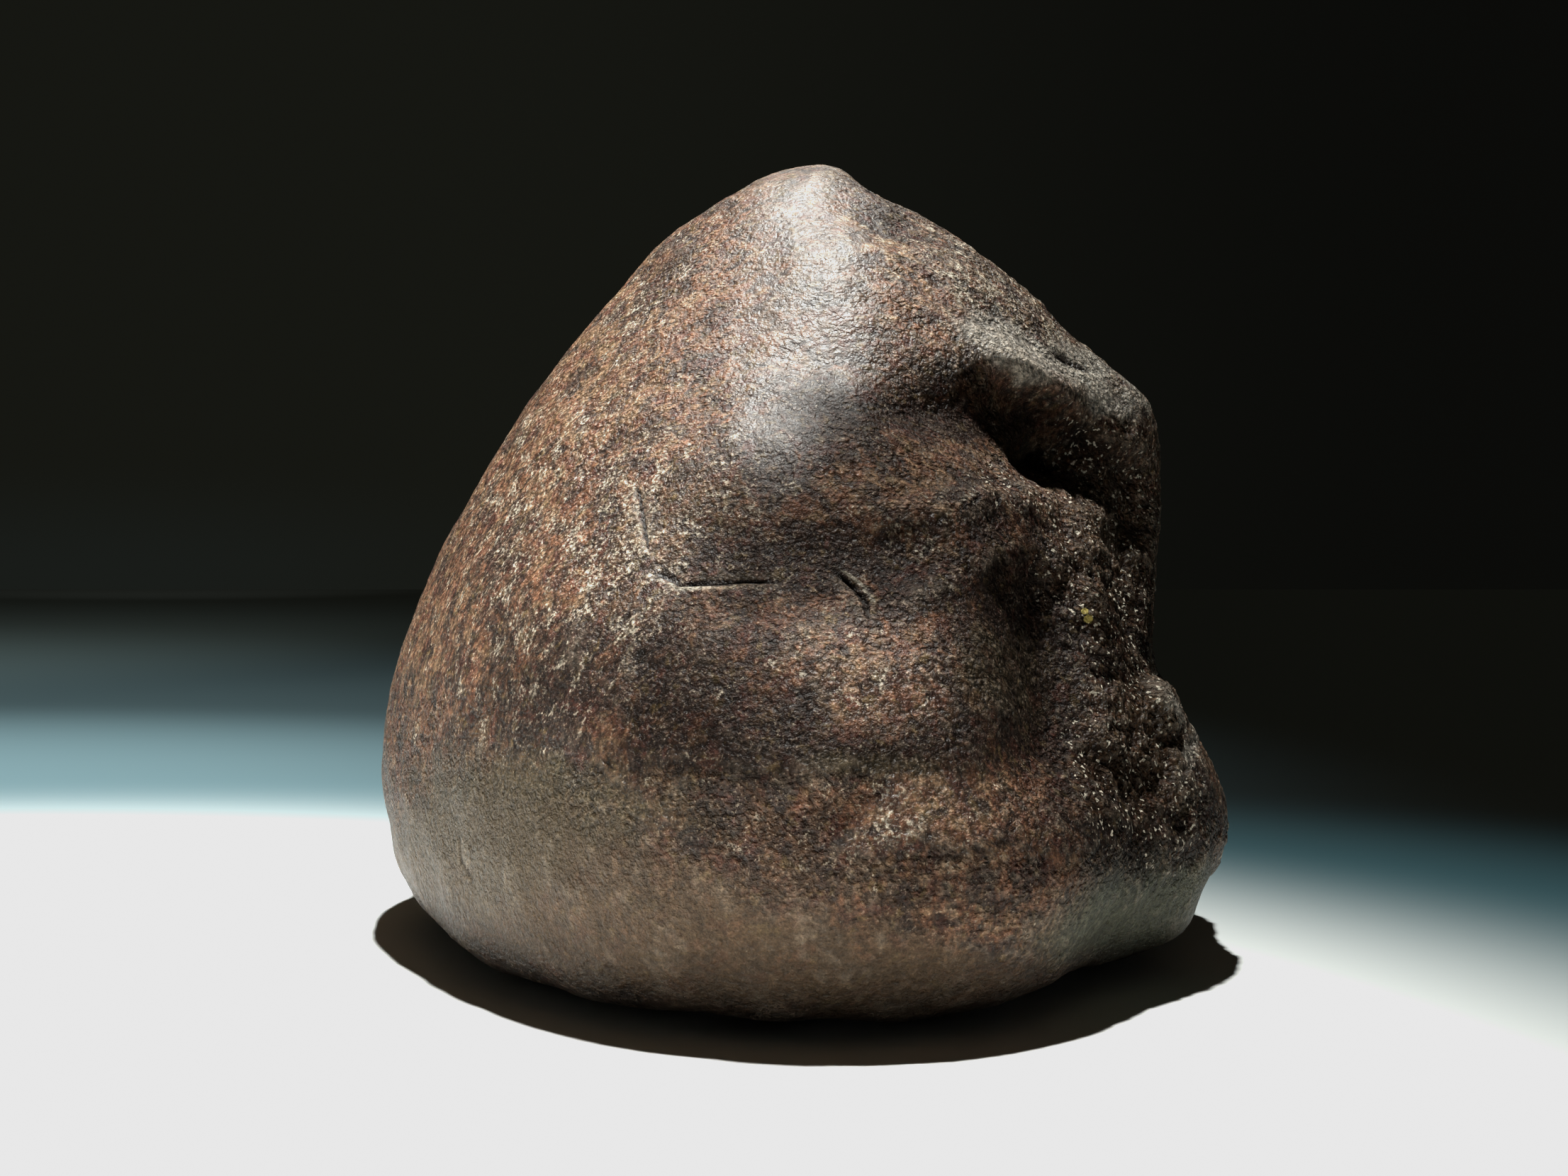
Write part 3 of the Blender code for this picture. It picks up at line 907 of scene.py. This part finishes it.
    # pale grey crust, and on the rim's crest also painted light
    much_pale = t.maths("ADD", t.maths("MULTIPLY", t.mark("pale"), 0.85), t.maths("MULTIPLY", blots, 0.5))
    colour = t.mix(t.step(much_pale, 0.50, 1.0, 0.0, 0.72), colour, PALE_GREY)
    # painted shade in the mesh's hollows, and paler crests
    colour = t.mix(t.step(dips, 0.15, 0.9, 0.0, 0.45), colour, PAINTED_SHADE)
    colour = t.mix(t.step(dips, -0.2, -0.9, 0.0, 0.20), colour, TAN)
    # cracks and pits: painted shade in their grooves and a painted highlight on their lips
    colour = t.mix(t.step(marks, -0.03, -0.16, 0.0, 0.9), colour, PAINTED_SHADE)
    colour = t.mix(t.step(marks, 0.015, 0.06, 0.0, 0.55), colour, CREAM)
    shade = t.step(grain, 0.25, 0.75, 0.74, 1.26)
    # painted shade in the bump's pits and painted light on its tops
    shade = t.maths("MULTIPLY", shade, t.step(bump_shade, 0.41, 0.68, 0.52, 2.15))
    # painted shade where the dim patches lie
    shade = t.maths("MULTIPLY", shade, t.step(dim, 0.0, 1.0, 1.03, 0.33))
    split = t.node("ShaderNodeSeparateXYZ", {"Vector": place})
    # darker towards the foot, over the lowest 7.5 mm
    shade = t.maths("MULTIPLY", shade, t.step(split.outputs["Z"], 0.8, 7.5, 0.16, 1.0))
    shaded = t.node("ShaderNodeVectorMath", operation="SCALE")
    t.put(shaded.inputs[0], colour)
    t.put(shaded.inputs["Scale"], shade)
    colour = shaded.outputs[0]
    # pale specks where the stone is broken, partly pale grains and partly painted glints, and the chips
    bright = t.maths("MULTIPLY", t.step(t.noise(place, 0.40, 1.0), 0.64, 0.69), t.step(rough, 0.2, 0.6))
    colour = t.mix(t.maths("MULTIPLY", bright, 0.85), colour, CREAM)
    for name in ("CREAM", "YELLOW"):
        spots = None
        for centre, (_, width, kind) in zip(chips, CHIPS):
            if kind != name:
                continue
            away = t.node("ShaderNodeVectorMath", operation="DISTANCE")
            t.put(away.inputs[0], place)
            t.put(away.inputs[1], tuple(float(c) for c in centre))
            away = t.maths("ADD", away.outputs["Value"], t.maths("MULTIPLY", tiny, 0.25))
            spot = t.step(away, width + 0.05, width + 0.17, 1.0, 0.0)
            spots = spot if spots is None else t.maths("MAXIMUM", spots, spot)
        colour = t.mix(t.maths("MULTIPLY", spots, 0.85), colour, {"CREAM": CREAM, "YELLOW": YELLOW}[name])
    t.put(shader.inputs["Base Color"], colour)

    # gloss
    gloss = t.step(t.noise(place, 0.5, 2.0), 0.3, 0.7, 0.36, 0.52)
    sparkle = t.step(t.noise(place, 0.22, 1.0), 0.60, 0.70, 0.0, -0.16)
    gloss = t.maths("ADD", gloss, sparkle)
    gloss = t.maths("ADD", gloss, t.step(flown, 0.2, 1.0, 0.0, 0.08))
    t.put(shader.inputs["Roughness"], t.maths("ADD", gloss, t.step(dim, 0.0, 1.0, 0.0, 0.08)))
    shine = t.maths("ADD", t.step(dim, 0.0, 1.0, 0.28, 0.04), t.step(flown, 0.1, 1.0, 0.0, 0.31))
    shine = t.maths("ADD", shine, t.maths("MULTIPLY", t.step(t.noise(place, 0.25, 1.0), 0.60, 0.70, 0.0, 0.35), t.step(dim, 0.0, 1.0, 1.0, 0.5)))
    shine = t.maths("MULTIPLY", shine, t.step(under, 0.0, 1.0, 1.0, 0.6))
    shine = t.maths("MULTIPLY", shine, t.step(rough, 0.3, 1.0, 1.0, 0.55))
    t.put(shader.inputs["Specular IOR Level"], shine)

    bump = t.node("ShaderNodeBump", {"Height": height, "Strength": 1.0, "Distance": MM})
    t.put(shader.inputs["Normal"], bump.outputs[0])
    return material


def main():
    scene = bpy.context.scene
    piece, middle, chips = stone()
    piece.data.materials.append(crust(chips))
    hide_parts("meteorite")
    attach(piece, "root")

    # the floor
    floor = bpy.data.meshes.new("floor")
    floor.from_pydata([(-3, -3, 0), (3, -3, 0), (3, 3, 0), (-3, 3, 0)], [], [(0, 1, 2, 3)])
    ground = bpy.data.objects.new("floor", floor)
    pale = bpy.data.materials.new("pale_floor")
    pale.use_nodes = True
    pale.node_tree.nodes["Principled BSDF"].inputs["Base Color"].default_value = (0.78, 0.78, 0.76, 1)
    pale.node_tree.nodes["Principled BSDF"].inputs["Roughness"].default_value = 0.9
    floor.materials.append(pale)
    scene.collection.objects.link(ground)

    # the light: one small lamp high over the stone, a beam with its haloes
    for name, aim, angle, watts, colour in LAMPS:
        lamp = bpy.data.lights.new(name, "SPOT")
        lamp.shadow_soft_size = 0.016
        lamp.spot_size = math.radians(2 * angle)
        lamp.spot_blend = 1.0
        lamp.energy = watts
        lamp.color = colour
        light = bpy.data.objects.new(name, lamp)
        light.location = ((LAMP[0] - middle[0]) * MM, (LAMP[1] - middle[1]) * MM, LAMP[2] * MM)
        target = Vector(((aim[0] - middle[0]) * MM, (aim[1] - middle[1]) * MM, 0.0))
        light.rotation_euler = (target - light.location).to_track_quat("-Z", "Y").to_euler()
        scene.collection.objects.link(light)
    world = bpy.data.worlds.new("dim")
    world.use_nodes = True
    w = Tree(world.node_tree)
    split = w.node(
        "ShaderNodeSeparateXYZ", {"Vector": w.node("ShaderNodeTexCoord").outputs["Generated"]}
    )
    glow = w.mix(
        w.step(split.outputs["X"], -0.20, 0.35), (0.0080, 0.0084, 0.0062), (0.0034, 0.0035, 0.0029)
    )
    low = w.maths(
        "MULTIPLY", w.step(split.outputs["Z"], 0.0, 0.06, 1.0, 0.0), w.step(split.outputs["X"], -0.35, -0.05, 1.0, 0.0)
    )
    glow = w.mix(low, glow, (0.0098, 0.0115, 0.0098))
    w.put(world.node_tree.nodes["Background"].inputs["Color"], glow)
    scene.world = world

    # the camera
    camera = bpy.data.cameras.new("camera")
    camera.sensor_width = 36.0
    camera.lens = FOCAL / PICTURE[0] * 36.0
    camera.clip_start = 0.01
    camera.clip_end = 10.0
    viewer = bpy.data.objects.new("camera", camera)
    viewer.location = (
        (EYE[0] - middle[0]) * MM,
        (EYE[1] - middle[1]) * MM,
        EYE[2] * MM,
    )
    viewer.rotation_euler = (math.radians(90 - DOWN), 0.0, 0.0)
    scene.collection.objects.link(viewer)
    scene.camera = viewer
    # highlights end at a pale grey, as on the photograph's floor
    view = scene.view_settings
    view.view_transform = "Standard"
    view.use_curve_mapping = True
    view.curve_mapping.extend = "HORIZONTAL"
    view.curve_mapping.curves[3].points[1].location = (0.805, 0.805)
    view.curve_mapping.update()


main()
